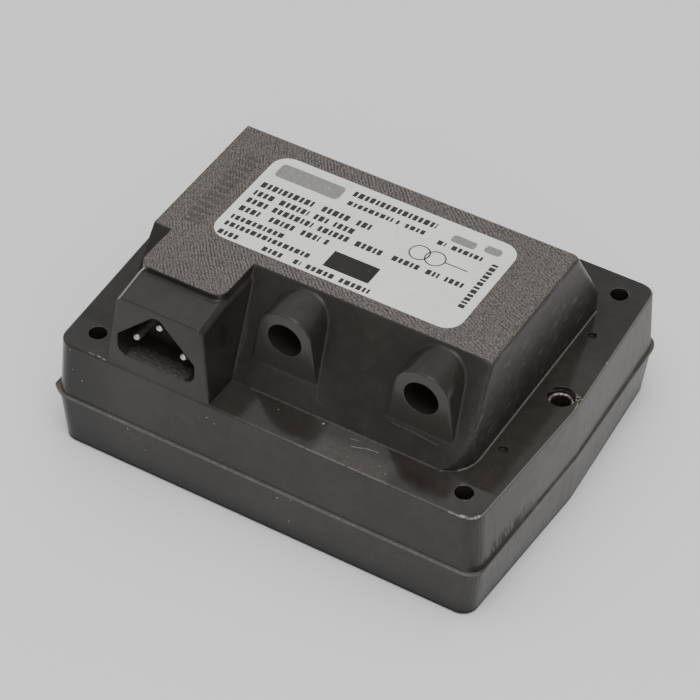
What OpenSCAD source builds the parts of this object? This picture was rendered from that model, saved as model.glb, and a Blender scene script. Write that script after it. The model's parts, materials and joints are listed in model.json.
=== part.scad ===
// Ignition transformer for an oil or gas burner: one dark thermoset moulding
// with a laminated core, one primary and two high voltage coils inside it.
// X runs along the long side, the sockets face -Y, Z is up, in millimetres.
// The origin lies under the middle of the base.

/* [Base] */
// Length of the base over its corners, at the top edge
base_length = 114; // [110:0.2:120]
// How far each end bulges in its middle, beyond the corners
end_bulge = 2.5; // [1.5:0.1:4]
// Depth of the base at its top edge
base_depth = 93.2; // [88:0.2:98]
// Height of the base, up to the flange face
base_height = 32.2; // [30:0.1:36]
// Height of the mould's parting line
parting_height = 14.8; // [10:0.2:20]
// How far the upper half spreads from its top edge to the parting line
upper_flare = 0.4; // [0:0.1:1.5]
// How much more it spreads there at the corners of the two ends
corner_flare = 0.8; // [0:0.1:1.2]
// How far the lower half draws in from the parting line to the bottom
lower_draw = 0.6; // [0:0.1:1.5]
// Step by which the lower half is larger than the upper half
parting_step = 0.3; // [0.1:0.1:1.5]
// Extra width of that step at the corners of the two ends
end_step = 0.7; // [0:0.1:1.2]
// Thickness of the flash left along the parting line
flash_thickness = 1; // [0.5:0.1:2]
// How far the flash stands out of the lower half
flash_proud = 0.3; // [0.1:0.1:1]
// Extra reach of the flash at the corners of the left end
flash_corner = 0.8; // [0:0.1:1.2]
// Extra reach of the flash at the back right corner
back_flash_corner = 0.4; // [0:0.1:1]
// Extra reach of the flash at the front right corner
front_flash_corner = 0.1; // [0:0.1:1]
// How far the flash stands out in the middle of the right end
right_flash_proud = 0.1; // [0.1:0.1:0.6]
// Cut of the flash at its pointed front left corner
flash_point = 2.5; // [1:0.1:3]
// Radius of the flash beside that point
flash_point_r = 8.4; // [4:0.2:8.6]
// Radius of the base's upright corners
base_corner_r = 4; // [2:0.5:6]
// Bevel of the flange's edge
rim_bevel = 0.4; // [0.1:0.1:1]
// Bevel of the bottom edge
foot_bevel = 0.5; // [0.2:0.1:1.5]

/* [Raised body] */
// Total height, without the label
total_height = 56.4; // [55:0.2:62]
// Length of the raised body where it leaves the flange
raised_length = 96; // [92:0.5:96.5]
// Draft of its right end, from the flange to the top
right_draft = 1.7; // [0:0.1:3]
// Draft of its left end, from the flange to the top
left_draft = 2.1; // [0:0.1:3]
// How far the left end leans in towards the front
left_lean = 1; // [0:0.1:2]
// Depth of the raised body where it leaves the flange
raised_depth = 72.3; // [71:0.1:74]
// Depth of its top face
top_depth = 43; // [40:0.2:48]
// Radius of the two upright corners at its right end
right_corner_r = 8; // [4:0.5:10]
// Radius of the sloping edge at the back right
back_corner_r = 2; // [1:0.5:6]
// Radius of the two corners at its left end
left_corner_r = 0.8; // [0.6:0.1:4]
// Rounding of the top edge at the right end
end_edge_r = 1.6; // [0.6:0.2:3]
// Rounding of the top edge at the back
back_edge_r = 1.5; // [0.5:0.5:3]

/* [Mains inlet] */
// Centre of the inlet block along X
inlet_x = -28.4; // [-29:0.1:-28]
// Width of the inlet block at the flange
inlet_foot_width = 28.6; // [27:0.2:29]
// Width of the inlet block at its shoulder
inlet_top_width = 23.8; // [23.6:0.1:25]
// Set back of its front face from the flange's front edge
inlet_setback = 0.3; // [0:0.1:1]
// Lean of its front face, from flange to shoulder
inlet_lean = 1.3; // [0:0.1:2]
// Height of the shoulder's front edge above the flange
shoulder_height = 20.8; // [20.6:0.1:21.4]
// Rise of the shoulder towards the back
shoulder_rise = 1.6; // [0:0.1:2]
// Bevel along the shoulder's two sides
shoulder_bevel = 1.3; // [0.4:0.1:1.6]
// Width of the tongue that the top face carries over the inlet
tongue_width = 23; // [20:0.5:23]
// How far the tongue reaches in front of the top face
tongue_reach = 14.3; // [10:0.1:16]
// Offset of the tongue to the left of the inlet block
tongue_offset = 0.3; // [0:0.1:0.6]
// Corner radius of the tongue
tongue_corner_r = 3; // [1:0.5:5]
// Centre of the plug recess along X
recess_x = -29.2; // [-29.4:0.1:-29]
// Width of the plug recess
recess_width = 21.4; // [21:0.1:21.6]
// Height of the plug recess, up to its peak
recess_height = 15.6; // [15.5:0.1:15.9]
// Height of the upright part of its two sides
recess_side_height = 5.6; // [5:0.1:6.4]
// Depth of the plug recess
recess_depth = 9; // [8:0.5:10]
// Height of the recess floor above the flange
recess_floor = 4.2; // [4:0.1:4.4]
// Radius of the corners of the recess
recess_corner_r = 2.4; // [1.5:0.1:2.8]
// Diameter of the mains pins
pin_d = 2; // [1.5:0.1:2.4]
// Distance between the line pin and the neutral pin
pin_pitch = 13; // [12.4:0.1:13.4]
// Height of these two pins above the flange
pin_height = 9.15; // [8.8:0.05:9.5]
// How much higher the earth pin stands
earth_pin_rise = 6; // [5.6:0.1:6.3]
// How far the pins stand out of the back of the recess
pin_reach = 7.2; // [5:0.1:7.6]
// Thickness of the moulded block that holds the pins
insert_thickness = 6; // [4:0.5:6]
// Length of the solder tail behind that block
pin_tail = 2.3; // [1.5:0.1:2.5]

/* [High voltage sockets] */
// Centre of the left socket along X
left_socket_x = -2.05; // [-3:0.05:-1]
// Distance between the two sockets
socket_pitch = 36.2; // [35:0.1:36.4]
// Height of the sockets above the flange
socket_height = 15.85; // [15.6:0.05:16.2]
// Distance of the socket faces in front of the middle
socket_face_y = 32.7; // [32:0.1:33.5]
// Diameter of the socket's mouth
socket_d = 9; // [8:0.1:9.4]
// Depth of the socket's mouth
socket_depth = 9; // [7:0.5:9.5]
// Diameter of the well behind the mouth
well_d = 6.4; // [5:0.2:7]
// Depth of that well
well_depth = 6; // [5:0.5:6]
// Radius of the arch over each socket
boss_r = 7; // [6.5:0.1:7.2]
// Height of the arch above the socket's centre
boss_rise = 7.4; // [7:0.1:7.6]
// Width of the boss at its foot
boss_foot_width = 18.2; // [16:0.2:19]
// How much wider the boss is at the socket's height than the arch
boss_swell = 0.4; // [0:0.1:0.6]
// How much smaller the arch's two corners are than its radius
boss_trim = 0.6; // [0.6:0.1:1.5]
// Diameter of the contact spike
spike_d = 1.6; // [1.2:0.1:2]
// Length of the contact spike
spike_length = 5; // [4:0.5:5.5]
// Thickness of the contact's disc
contact_disc = 1.5; // [1:0.1:2]
// Length of the contact's solder tail
contact_tail = 3.2; // [2:0.1:3.4]

/* [Fixing] */
// Distance between the fixing holes along X
hole_pitch_x = 100; // [99:0.2:101]
// Distance between the fixing holes along Y
hole_pitch_y = 79; // [78:0.2:80]
// Diameter of the fixing holes
hole_d = 4.5; // [4:0.1:5]
// Distance of the earth bush from the middle
bush_x = 54.4; // [53.6:0.1:54.6]
// Outer diameter of the earth bush
bush_d = 6.8; // [6:0.1:7]
// Bore of the earth bush
bush_bore_d = 4.6; // [4:0.1:5]
// Radius of its rolled rim
bush_rim_r = 0.45; // [0.2:0.05:0.45]
// How deep the bush lies under the flange face
bush_recess = 1.6; // [1:0.1:3]
// Diameter of the two blind marks in the flange
mark_d = 2.3; // [1.5:0.1:3]
// Depth of the blind marks
mark_depth = 0.9; // [0.5:0.1:2]
// Distance of the marks from the middle along X
mark_x = 51; // [50.5:0.1:52]
// Distance between the marks along Y
mark_pitch = 45.4; // [40:0.2:50]

/* [Label] */
// Length of the label
label_length = 66.8; // [50:0.2:72]
// Depth of the label
label_depth = 33.8; // [25:0.2:35]
// Thickness of the label
label_thickness = 0.15; // [0.1:0.05:0.3]
// Centre of the label along X
label_x = 0.6; // [-2:0.1:2]
// Centre of the label along Y
label_y = -0.9; // [-2:0.1:0]
// Corner radius of the label
label_corner_r = 4.5; // [2:0.5:6]

/* [Core and coils] */
// Depth of the middle of the core under the flange face
core_drop = 9.2; // [9:0.1:9.4]
// Width of the core's middle leg, and height of its stack
core_leg = 18; // [16:0.2:18.2]
// Width of the core's outer legs and of its two ends
core_yoke = 9; // [8:0.2:9.6]
// Width of the two windows beside the middle leg
window_width = 11; // [10.8:0.1:11.6]
// Length of the primary bobbin
primary_length = 22; // [18:0.5:22.5]
// Length of each high voltage bobbin
secondary_length = 18.2; // [14:0.2:18.4]
// Thickness of the magnetic shunts
shunt_thickness = 4.2; // [3:0.1:4.4]
// Wall of the bobbins
bobbin_wall = 1; // [0.8:0.1:1.2]
// Thickness of the bobbins' flanges
flange_thickness = 1.2; // [0.8:0.1:1.6]
// Height of the wound wire
winding_build = 8.4; // [6:0.1:8.4]
// Thickness of the insulating tape round each winding
wrap_thickness = 0.4; // [0.2:0.1:0.5]
// How far the flanges stand above the tape
flange_proud = 0.2; // [0.1:0.05:0.3]
// Rounding of the bobbins and windings
coil_corner_r = 2; // [1:0.5:3]
// Width of the earth strap
strap_width = 5; // [3:0.5:6]
// Thickness of the earth strap
strap_thickness = 0.8; // [0.4:0.1:1.2]
// Diameter of the insulated leads
lead_d = 2.2; // [1.8:0.1:2.4]
// How far inside the primary's end the two mains leads reach it
mains_lead_inset = 6.5; // [5.5:0.5:8]
// Depth of the line lead's end under the top of the coils
line_lead_drop = 8.2; // [7.8:0.2:9]
// Depth of the neutral lead's end under the top of the coils
neutral_lead_drop = 3.6; // [3:0.2:4.4]
// Depth of the midpoint leads under the top of the coils
midpoint_lead_drop = 5; // [4:0.2:6]
// Play between pieces that sit in each other
play = 0.1; // [0.05:0.01:0.15]

/* [Hidden] */
$fn = 48;

// Thickness of the slices that a hull is stretched over
slice = 0.01;
// Depth by which one solid is sunk into another that it is fused with
sink = 1;
// Height by which a solid that is cut to shape stands over its cut
trim = 0.3;
// Steps of the arcs in an outline
arc_steps = 6;
// Steps of the arcs over the two sockets
fine_steps = 14;

body_colour = [0.27, 0.26, 0.25];
label_colour = [0.83, 0.83, 0.81];
steel_colour = [0.72, 0.72, 0.70];
brass_colour = [0.78, 0.66, 0.36];
iron_colour = [0.45, 0.46, 0.48];
copper_colour = [0.72, 0.42, 0.22];
nylon_colour = [0.88, 0.86, 0.78];
tape_colour = [0.93, 0.80, 0.30];

corner_x = base_length / 2;
middle_x = corner_x + end_bulge;
side_y = base_depth / 2;
foot_y = raised_depth / 2;
top_y = top_depth / 2;
raised_rise = total_height - base_height;
// Angle of the sloping front and back from the upright
slope_angle = atan2(foot_y - top_y, raised_rise);

// Depth of the sloping faces at a height, measured from the middle
function slope_y(z) = foot_y - (z - base_height) * tan(slope_angle);

// Front of the inlet block at the flange and at its shoulder
inlet_front = -side_y + inlet_setback;
shoulder_front = inlet_front + inlet_lean;
shoulder_z = base_height + shoulder_height;
tongue_front = -top_y - tongue_reach;
recess_z = base_height + recess_floor;
recess_back = inlet_front + recess_depth;
pin_z = base_height + pin_height;
pin_tip = recess_back - pin_reach;
insert_back = recess_back + insert_thickness;
tail_end = insert_back + pin_tail;
line_x = recess_x - pin_pitch / 2;
neutral_x = recess_x + pin_pitch / 2;
earth_pin_z = pin_z + earth_pin_rise;

socket_z = base_height + socket_height;
right_socket_x = left_socket_x + socket_pitch;
mouth_end = -socket_face_y + socket_depth;
well_end = mouth_end + well_depth;
contact_end = well_end + contact_disc + contact_tail;
boss_foot_z = base_height + (foot_y - socket_face_y) / tan(slope_angle) - sink;

// Half sizes of the core and the coils across the middle leg
half_leg = core_leg / 2;
bobbin_in = half_leg + 2 * play;
winding_in = bobbin_in + bobbin_wall;
winding_out = winding_in + winding_build;
wrap_out = winding_out + wrap_thickness;
flange_out = wrap_out + flange_proud;
window_out = half_leg + window_width;
core_out = window_out + core_yoke;
half_primary = primary_length / 2;
core_z = base_height - core_drop;
shunt_x = half_primary + play;
secondary_x = shunt_x + shunt_thickness + play;
window_x = secondary_x + secondary_length + play;
core_x = window_x + core_yoke;
secondary_mid = secondary_x + secondary_length / 2;
core_top = core_z + half_leg;
coil_top = core_z + wrap_out;
lead_r = lead_d / 2;

// Unit vector along v
function unit(v) = v / norm(v);

// Arc of radius r, in n steps, that rounds the corner b between the points a and c
function corner_arc(a, b, c, r, n) =
    let (
        u = unit(a - b),
        v = unit(c - b),
        half = acos(u * v) / 2,
        middle = b + unit(u + v) * r / sin(half),
        from = b + u * r / tan(half) - middle,
        to = b + v * r / tan(half) - middle,
        start = atan2(from.y, from.x),
        turn = atan2(from.x * to.y - from.y * to.x, from * to)
    )
    [for (i = [0:n]) middle + r * [cos(start + turn * i / n), sin(start + turn * i / n)]];

// Outline through points whose corners are rounded by the radii beside them
function rounded(points, radii, steps = arc_steps) =
    let (n = len(points))
    [for (i = [0:n - 1])
        each radii[i] > 0
            ? corner_arc(points[(i + n - 1) % n], points[i], points[(i + 1) % n], radii[i], steps)
            : [points[i]]];

// Rectangle with rounded corners, given by its half sizes
function rounded_box(hx, hy, r) =
    rounded([[-hx, -hy], [hx, -hy], [hx, hy], [-hx, hy]], [r, r, r, r]);

// Plan of the base: long sides straight, both ends a shallow V
function base_plan(grow, corner_grow = 0) =
    let (
        cx = corner_x + grow + corner_grow,
        mx = middle_x + grow,
        y = side_y + grow,
        r = base_corner_r
    )
    rounded([[-cx, -y], [cx, -y], [mx, 0], [cx, y], [-cx, y], [-mx, 0]], [r, r, 0, r, r, 0]);

// Thin slice of an outline with its lower face at a height
module slab(outline, z) {
    translate([0, 0, z]) linear_extrude(slice) polygon(outline);
}

// Solid with its section in the YZ plane, from x0 to x1
module along_x(x0, x1) {
    translate([x0, 0, 0]) rotate([90, 0, 90]) linear_extrude(x1 - x0) children();
}

// Solid with its section in the XZ plane, from y0 to y1
module along_y(y0, y1) {
    translate([0, y1, 0]) rotate([90, 0, 0]) linear_extrude(y1 - y0) children();
}

// Round bar or hole along Y, from y0 to y1
module round_y(d, x, z, y0, y1) {
    translate([x, y1, z]) rotate([90, 0, 0]) cylinder(h = y1 - y0, d = d);
}

// Round bar of diameter d between the two ends of a run
module bar(run, d) {
    v = run[1] - run[0];
    translate(run[0]) rotate([0, acos(v.z / norm(v)), atan2(v.y, v.x)]) cylinder(h = norm(v), d = d);
}

// Plan of the flash: as the base, but with a pointed front left corner
function flash_plan() =
    let (
        step = upper_flare + parting_step,
        left = corner_x + step + flash_proud + end_step + flash_corner,
        right = corner_x + step + right_flash_proud + end_step,
        y = side_y + step + flash_proud,
        r = base_corner_r
    )
    rounded(
        [
            [-left, flash_point - y], [flash_point - left, -y], [right + front_flash_corner, -y],
            [middle_x + step + right_flash_proud, 0],
            [right + back_flash_corner, y], [-left, y], [-middle_x - step - flash_proud, 0]
        ],
        [0, flash_point_r, r, 0, r, r, 0]
    );

module base_solid() {
    flash_floor = parting_height - flash_thickness / 2;
    step = upper_flare + parting_step;
    hull() {
        slab(base_plan(upper_flare, corner_flare), parting_height);
        slab(base_plan(0), base_height - rim_bevel);
        slab(base_plan(-rim_bevel), base_height - slice);
    }
    translate([0, 0, flash_floor])
        linear_extrude(flash_thickness)
            polygon(flash_plan());
    hull() {
        slab(base_plan(step, end_step), parting_height);
        slab(base_plan(step - lower_draw), foot_bevel);
        slab(base_plan(step - lower_draw - foot_bevel), 0);
    }
}

// Raised body: a drafted block cut to a sloping front and back
module raised_solid() {
    half_foot = raised_length / 2;
    r = back_edge_r;
    normal = [cos(slope_angle), sin(slope_angle)];
    edge_z = total_height - r;
    edge_y = ([foot_y, base_height] * normal - r - edge_z * normal.y) / normal.x;
    back_arc = [for (i = [0:arc_steps])
        let (a = slope_angle + (90 - slope_angle) * i / arc_steps)
        [edge_y + r * cos(a), edge_z + r * sin(a)]];
    buried = base_height - sink;
    side = half_foot + trim;
    edge = foot_y + trim;
    // Plan of the block at height z, from x0 to half_foot less right_in
    function plan(z, x0, right_in, over) =
        let (x1 = half_foot - right_in, front = -foot_y - over, back = slope_y(z) + over)
        let (lean = left_lean / raised_depth)
        rounded(
            [[x0 + lean * (foot_y - front), front], [x1, front], [x1, back], [x0 + lean * (foot_y - back), back]],
            [left_corner_r, right_corner_r, back_corner_r, left_corner_r]
        );
    intersection() {
        translate([0, 0, buried])
            linear_extrude(raised_rise + sink)
                polygon(rounded(
                    [[-side, -side_y], [side, -side_y], [side, edge], [-side, edge]],
                    [0, 0, right_corner_r, 0]
                ));
        hull() {
            slab(plan(buried, -half_foot, 0, trim), buried);
            slab(plan(total_height, left_draft - half_foot, right_draft + end_edge_r, trim), total_height - slice);
            for (i = [0:arc_steps - 1]) {
                a = 90 * i / arc_steps;
                z = total_height - end_edge_r * (1 - sin(a)) - slice;
                slab(plan(z, 0, right_draft + end_edge_r * (1 - cos(a)), trim / 2), z);
            }
        }
        along_x(-side, side)
            polygon([
                [-slope_y(buried), buried], [slope_y(buried), buried],
                each back_arc, [-top_y, total_height]
            ]);
    }
}

// Block round the plug recess, with its shoulder and the tongue above it
module inlet_solid() {
    foot = inlet_foot_width / 2;
    top = inlet_top_width / 2;
    bevel = shoulder_bevel;
    // Upper edge of the block across X, for a shoulder at height z
    function brow(z) = [[-top, z - bevel], [-top + bevel, z], [top - bevel, z], [top, z - bevel]];
    translate([inlet_x, 0, 0]) {
        hull() {
            translate([0, 0, base_height - sink])
                linear_extrude(slice)
                    polygon([[-foot, inlet_front], [foot, inlet_front], [foot, -top_y], [-foot, -top_y]]);
            along_y(shoulder_front, shoulder_front + slice) polygon(brow(shoulder_z));
            along_y(tongue_front, tongue_front + slice) polygon(brow(shoulder_z + shoulder_rise));
            along_y(-top_y, -top_y + slice) polygon(brow(shoulder_z + shoulder_rise));
        }
    }
    half = tongue_width / 2;
    r = tongue_corner_r;
    translate([inlet_x - tongue_offset, 0, shoulder_z])
        linear_extrude(total_height - shoulder_z)
            polygon(rounded([[-half, tongue_front], [half, tongue_front], [half, 0], [-half, 0]], [r, r, 0, 0]));
}

// Face of the boss round a high voltage socket
function boss_face() =
    let (
        foot = boss_foot_width / 2,
        fall = socket_z - boss_foot_z,
        lean = (foot - boss_r - boss_swell) / fall,
        top = boss_r + boss_swell - lean * boss_rise
    )
    rounded(
        [[-foot, -fall], [foot, -fall], [top, boss_rise], [-top, boss_rise]],
        [0, 0, boss_r - boss_trim, boss_r - boss_trim],
        fine_steps
    );

module socket_boss(x) {
    translate([x, 0, socket_z]) along_y(-socket_face_y, -top_y + sink) polygon(boss_face());
}

module socket_cut(x) {
    round_y(socket_d, x, socket_z, -socket_face_y - sink, mouth_end);
    round_y(well_d, x, socket_z, mouth_end - slice, well_end + contact_disc + play);
    round_y(spike_d + 2 * play, x, socket_z, well_end, contact_end + play);
}

// Outline of the plug recess: a gable with upright sides, grown or shrunk
function recess_outline(grow) =
    let (
        gable = atan2(recess_height - recess_side_height, recess_width / 2),
        w = recess_width / 2 + grow,
        peak = recess_height + grow / cos(gable),
        side = recess_side_height + grow * (1 - sin(gable)) / cos(gable),
        r = recess_corner_r + grow
    )
    rounded([[-w, -grow], [w, -grow], [w, side], [0, peak], [-w, side]], [r, r, r / 2, r, r / 2]);

module inlet_cut() {
    translate([recess_x, 0, recess_z]) {
        along_y(inlet_front - sink, recess_back) polygon(recess_outline(0));
        along_y(recess_back - slice, insert_back + play) polygon(recess_outline(play - bobbin_wall));
    }
    for (p = pin_places) round_y(pin_d + 2 * play, p.x, p.y, insert_back, tail_end + play);
}

// Centres of the line, neutral and earth pins in the XZ plane
pin_places = [[line_x, pin_z], [neutral_x, pin_z], [recess_x, earth_pin_z]];

// Space that the core and the three coils take up in the moulding
module coil_nest() {
    c = core_x + play;
    y = core_out + play;
    translate([-c, -y, core_z - half_leg - play]) cube([2 * c, 2 * y, core_leg + 2 * play]);
    f = flange_out + play;
    w = window_x;
    translate([-w, -f, core_z - f]) cube([2 * w, 2 * f, 2 * f]);
}

module fixing_holes() {
    for (x = [-1, 1], y = [-1, 1])
        translate([x * hole_pitch_x / 2, y * hole_pitch_y / 2, -sink])
            cylinder(h = base_height + 2 * sink, d = hole_d);
}

module flange_marks() {
    for (y = [-1, 1])
        translate([mark_x, y * mark_pitch / 2, base_height - mark_depth])
            cylinder(h = mark_depth + sink, d = mark_d);
}

module bush_hole() {
    translate([bush_x, 0, -sink]) cylinder(h = base_height + 2 * sink, d = bush_d);
}

// Strip from the core's end to the bush, grown by a margin on all sides
module strap_bar(margin) {
    x0 = core_x + play - margin;
    x1 = bush_x - bush_d / 2 + margin;
    translate([x0, -strap_width / 2 - margin, core_z - strap_thickness / 2 - margin])
        cube([x1 - x0, strap_width + 2 * margin, strap_thickness + 2 * margin]);
}

// Runs of the leads, from the tail they are soldered to, into the coils' nest
line_run = [
    [line_x, tail_end, pin_z],
    [mains_lead_inset - half_primary, -wrap_out, coil_top - line_lead_drop]
];
neutral_run = [
    [neutral_x, tail_end, pin_z],
    [mains_lead_inset - half_primary, -wrap_out, coil_top - neutral_lead_drop]
];
earth_run = [
    [recess_x, tail_end, earth_pin_z],
    [-window_x - core_yoke / 2, core_yoke / 2 - window_out, core_top - lead_d]
];
left_ht_run = [
    [left_socket_x, contact_end, socket_z],
    [-secondary_mid, -half_leg, coil_top - lead_r]
];
right_ht_run = [
    [right_socket_x, contact_end, socket_z],
    [secondary_mid, -half_leg, coil_top - lead_r]
];
left_midpoint_run = [
    [-secondary_mid, winding_out, coil_top - midpoint_lead_drop],
    [-secondary_mid, core_out - core_yoke / 2, core_top - lead_r]
];
right_midpoint_run = [for (p = left_midpoint_run) [-p.x, p.y, p.z]];
runs = [
    line_run, neutral_run, earth_run, left_ht_run, right_ht_run,
    left_midpoint_run, right_midpoint_run
];

// Lead along a run, cut off at the tail it is soldered to and at the nest
module lead(run) {
    margin = 2 * lead_d;
    difference() {
        bar(run, lead_d);
        coil_nest();
        translate(run[0] - [margin, 2 * margin - play, margin]) cube(2 * margin);
    }
}

module moulded_body() {
    color(body_colour)
        difference() {
            union() {
                base_solid();
                raised_solid();
                inlet_solid();
                socket_boss(left_socket_x);
                socket_boss(right_socket_x);
            }
            fixing_holes();
            flange_marks();
            bush_hole();
            strap_bar(play);
            inlet_cut();
            socket_cut(left_socket_x);
            socket_cut(right_socket_x);
            coil_nest();
            for (run = runs) bar(run, lead_d + 2 * play);
        }
}

module rating_label() {
    color(label_colour)
        translate([label_x, label_y, total_height])
            linear_extrude(label_thickness)
                polygon(rounded_box(label_length / 2, label_depth / 2, label_corner_r));
}

// Mains pin with a domed tip, from the recess to its solder tail
module mains_pin(place) {
    color(steel_colour) {
        round_y(pin_d, place.x, place.y, pin_tip + pin_d / 2, tail_end);
        translate([place.x, pin_tip + pin_d / 2, place.y]) sphere(d = pin_d);
    }
}

module line_pin() { mains_pin(pin_places[0]); }
module neutral_pin() { mains_pin(pin_places[1]); }
module earth_pin() { mains_pin(pin_places[2]); }

module pin_insert() {
    color(nylon_colour)
        difference() {
            translate([recess_x, 0, recess_z])
                along_y(recess_back, insert_back) polygon(recess_outline(-bobbin_wall));
            for (p = pin_places) round_y(pin_d + play, p.x, p.y, recess_back - sink, insert_back + sink);
        }
}

// Contact at the bottom of a socket: spike, disc and solder tail
module ht_contact(x) {
    color(brass_colour) {
        round_y(well_d, x, socket_z, well_end, well_end + contact_disc);
        round_y(spike_d, x, socket_z, well_end + contact_disc, contact_end);
        round_y(spike_d, x, socket_z, well_end - spike_length + spike_d, well_end);
        translate([x, well_end - spike_length + spike_d, socket_z])
            rotate([90, 0, 0]) cylinder(h = spike_d, d1 = spike_d, d2 = spike_d / 4);
    }
}

module left_ht_contact() { ht_contact(left_socket_x); }
module right_ht_contact() { ht_contact(right_socket_x); }

module earth_bush() {
    bore = bush_bore_d / 2;
    edge = bush_d / 2;
    top = base_height - bush_recess;
    color(steel_colour)
        translate([bush_x, 0, 0])
            rotate_extrude()
                polygon(rounded(
                    [[bore, 0], [edge, 0], [edge, top], [bore, top]],
                    [0, 0, bush_rim_r, bush_rim_r]
                ));
}

module earth_strap() {
    color(brass_colour)
        difference() {
            strap_bar(0);
            bush_hole();
        }
}

// Laminations stacked upright: a yoke at the left end and the three legs
module core_e_stack() {
    color(iron_colour)
        translate([0, 0, core_z - half_leg])
            linear_extrude(core_leg)
                difference() {
                    translate([-core_x, -core_out]) square([core_x + window_x, 2 * core_out]);
                    for (y = [half_leg, -window_out])
                        translate([-window_x, y]) square([2 * window_x + sink, window_width]);
                }
}

module core_i_stack() {
    color(iron_colour)
        translate([window_x, -core_out, core_z - half_leg])
            cube([core_yoke, 2 * core_out, core_leg]);
}

// Magnetic shunt in one window, on the side given by the two signs
module shunt(side_x, side_y) {
    x0 = side_x > 0 ? shunt_x : -shunt_x - shunt_thickness;
    y0 = side_y > 0 ? half_leg + play : -window_out + play;
    color(iron_colour)
        translate([x0, y0, core_z - half_leg])
            cube([shunt_thickness, window_width - 2 * play, core_leg]);
}

module left_front_shunt() { shunt(-1, -1); }
module left_back_shunt() { shunt(-1, 1); }
module right_front_shunt() { shunt(1, -1); }
module right_back_shunt() { shunt(1, 1); }

// Square ring round the middle leg, from x0 to x1, between two half sizes
module coil_ring(x0, x1, inner, outer, inner_r) {
    translate([0, 0, core_z])
        along_x(x0, x1)
            difference() {
                polygon(rounded_box(outer, outer, coil_corner_r));
                polygon(rounded_box(inner, inner, inner_r));
            }
}

// Bobbin with its two flanges
module bobbin(x0, length) {
    x1 = x0 + length;
    color(nylon_colour) {
        coil_ring(x0, x1, bobbin_in, winding_in, play);
        for (x = [x0, x1 - flange_thickness])
            coil_ring(x, x + flange_thickness, bobbin_in, flange_out, play);
    }
}

module winding(x0, length) {
    color(copper_colour)
        coil_ring(
            x0 + flange_thickness + play, x0 + length - flange_thickness - play,
            winding_in + play, winding_out, coil_corner_r / 2
        );
}

module wrap(x0, length) {
    color(tape_colour)
        coil_ring(
            x0 + flange_thickness + play, x0 + length - flange_thickness - play,
            winding_out, wrap_out, coil_corner_r
        );
}

module primary_bobbin() { bobbin(-half_primary, primary_length); }
module primary_winding() { winding(-half_primary, primary_length); }
module primary_wrap() { wrap(-half_primary, primary_length); }
module left_secondary_bobbin() { bobbin(-secondary_x - secondary_length, secondary_length); }
module left_secondary_winding() { winding(-secondary_x - secondary_length, secondary_length); }
module left_secondary_wrap() { wrap(-secondary_x - secondary_length, secondary_length); }
module right_secondary_bobbin() { bobbin(secondary_x, secondary_length); }
module right_secondary_winding() { winding(secondary_x, secondary_length); }
module right_secondary_wrap() { wrap(secondary_x, secondary_length); }

module line_lead() { color("saddlebrown") lead(line_run); }
module neutral_lead() { color("royalblue") lead(neutral_run); }
module earth_lead() { color("yellowgreen") lead(earth_run); }
module left_ht_lead() { color("firebrick") lead(left_ht_run); }
module right_ht_lead() { color("firebrick") lead(right_ht_run); }

// Lead between a coil and the core, cut off where the nest begins
module midpoint_lead(run) {
    color("dimgray")
        difference() {
            bar(run, lead_d);
            coil_nest();
        }
}

module left_midpoint_lead() { midpoint_lead(left_midpoint_run); }
module right_midpoint_lead() { midpoint_lead(right_midpoint_run); }

moulded_body();
rating_label();
line_pin();
neutral_pin();
earth_pin();
pin_insert();
left_ht_contact();
right_ht_contact();
earth_bush();
earth_strap();
core_e_stack();
core_i_stack();
left_front_shunt();
left_back_shunt();
right_front_shunt();
right_back_shunt();
primary_bobbin();
primary_winding();
primary_wrap();
left_secondary_bobbin();
left_secondary_winding();
left_secondary_wrap();
right_secondary_bobbin();
right_secondary_winding();
right_secondary_wrap();
line_lead();
neutral_lead();
earth_lead();
left_ht_lead();
right_ht_lead();
left_midpoint_lead();
right_midpoint_lead();
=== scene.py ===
"""Dresses the packed ignition transformer: finishes, label print, set resin and the stage."""
import json
import math

import bmesh
import bpy
from bpy.props import FloatProperty, FloatVectorProperty, PointerProperty
from mathutils import Matrix, Vector, noise


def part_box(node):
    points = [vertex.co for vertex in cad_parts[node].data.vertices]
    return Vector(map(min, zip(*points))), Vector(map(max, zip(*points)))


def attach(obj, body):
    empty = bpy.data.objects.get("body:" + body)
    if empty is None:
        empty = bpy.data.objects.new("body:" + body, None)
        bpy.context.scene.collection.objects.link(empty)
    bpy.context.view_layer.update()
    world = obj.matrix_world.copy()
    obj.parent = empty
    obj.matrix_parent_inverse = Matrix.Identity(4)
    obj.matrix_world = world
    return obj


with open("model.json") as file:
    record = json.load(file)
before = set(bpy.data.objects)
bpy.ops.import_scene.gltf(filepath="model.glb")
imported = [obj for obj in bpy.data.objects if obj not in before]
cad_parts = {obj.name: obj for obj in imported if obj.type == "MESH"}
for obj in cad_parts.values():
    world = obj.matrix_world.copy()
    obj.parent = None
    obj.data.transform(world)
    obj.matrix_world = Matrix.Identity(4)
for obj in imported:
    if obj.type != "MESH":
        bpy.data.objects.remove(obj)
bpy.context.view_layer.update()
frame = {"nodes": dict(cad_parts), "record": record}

bl_info = {
    "name": "Ignition transformer",
    "version": (1, 0, 0),
    "blender": (4, 5, 0),
    "location": "View3D > Sidebar > Transformer",
    "description": "Finishes, label print, resin and stage for the packed ignition transformer",
    "category": "Object",
}

NODES = frame["nodes"]
MM = 0.001

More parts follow.
